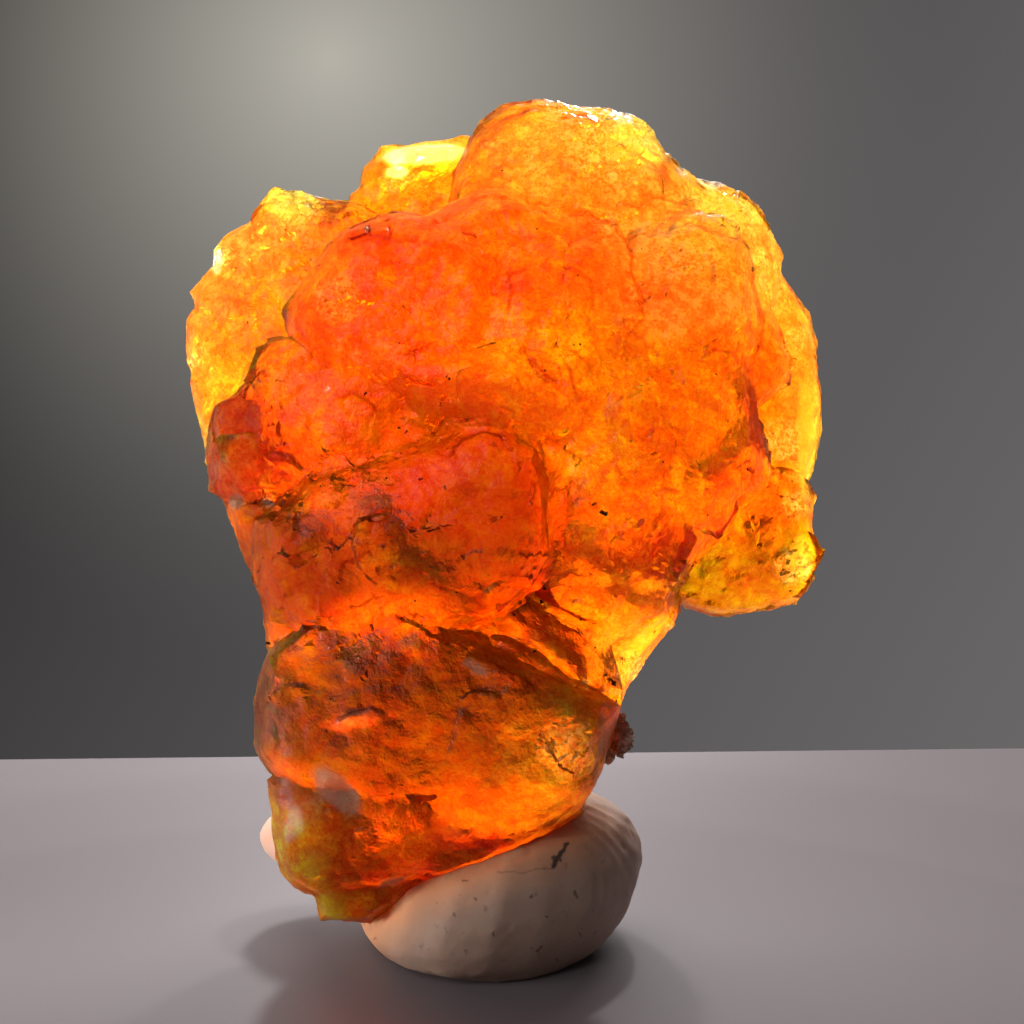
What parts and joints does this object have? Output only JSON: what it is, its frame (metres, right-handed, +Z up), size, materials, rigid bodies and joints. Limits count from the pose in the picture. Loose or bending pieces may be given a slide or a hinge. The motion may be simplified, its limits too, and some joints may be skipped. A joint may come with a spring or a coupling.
{
  "type": "wulfenite crystal cluster on a putty stand",
  "caption": "Cluster of intergrown translucent orange wulfenite crystals, a rounded rosette on a cleaved stem, held upright by a lump of grey mineral putty.",
  "frame": {"origin": "middle of the putty's flat foot, on the surface that the specimen stands on", "axes": "+Z up, the specimen's longest extent; +X to the right and +Y away from the side that shows the rosette"},
  "size_m": [0.0418, 0.0185, 0.0523],
  "materials": {
    "wulfenite": "translucent orange crystal, resinous lustre, honey yellow at thin edges",
    "putty": "matt grey putty with a faint pink cast, dark specks and finger marks",
    "matrix": "rough dark rusty crust with glittering grains"
  },
  "bodies": {
    "root": {"wulfenite_cluster": "wulfenite", "putty_lump": "putty", "rusty_matrix": "matrix"}
  },
  "joints": []
}
